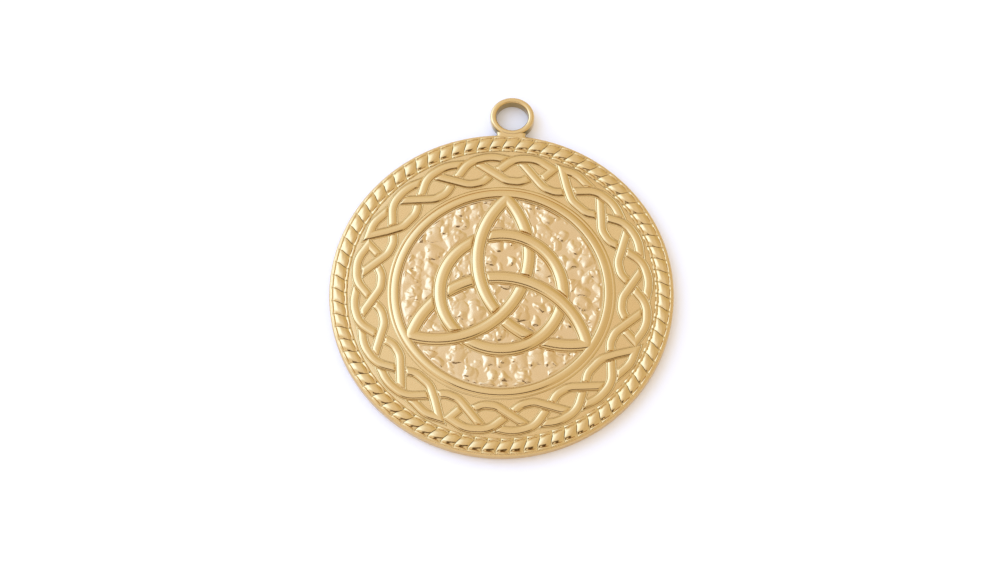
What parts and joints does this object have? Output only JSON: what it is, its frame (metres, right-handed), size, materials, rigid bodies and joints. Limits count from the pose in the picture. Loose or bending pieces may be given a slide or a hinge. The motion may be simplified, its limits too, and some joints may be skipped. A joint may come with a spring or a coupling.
{
  "type": "medallion pendant",
  "caption": "Round gold-coloured medallion with a raised three-cornered knot and circle, a plaited border, a rope rim and a hanging loop.",
  "frame": {"origin": "centre of the round disc on its flat back face", "axes": "+Z out of the decorated face, +Y towards the hanging loop, +X to the right when the decorated face is seen with the loop up"},
  "size_m": [0.025, 0.0281, 0.0014],
  "materials": {
    "gold_metal": "satin polished gold plating, brighter on the raised strands, fine matt grain on the ground"
  },
  "bodies": {
    "root": {"medallion": "gold_metal"}
  },
  "joints": []
}
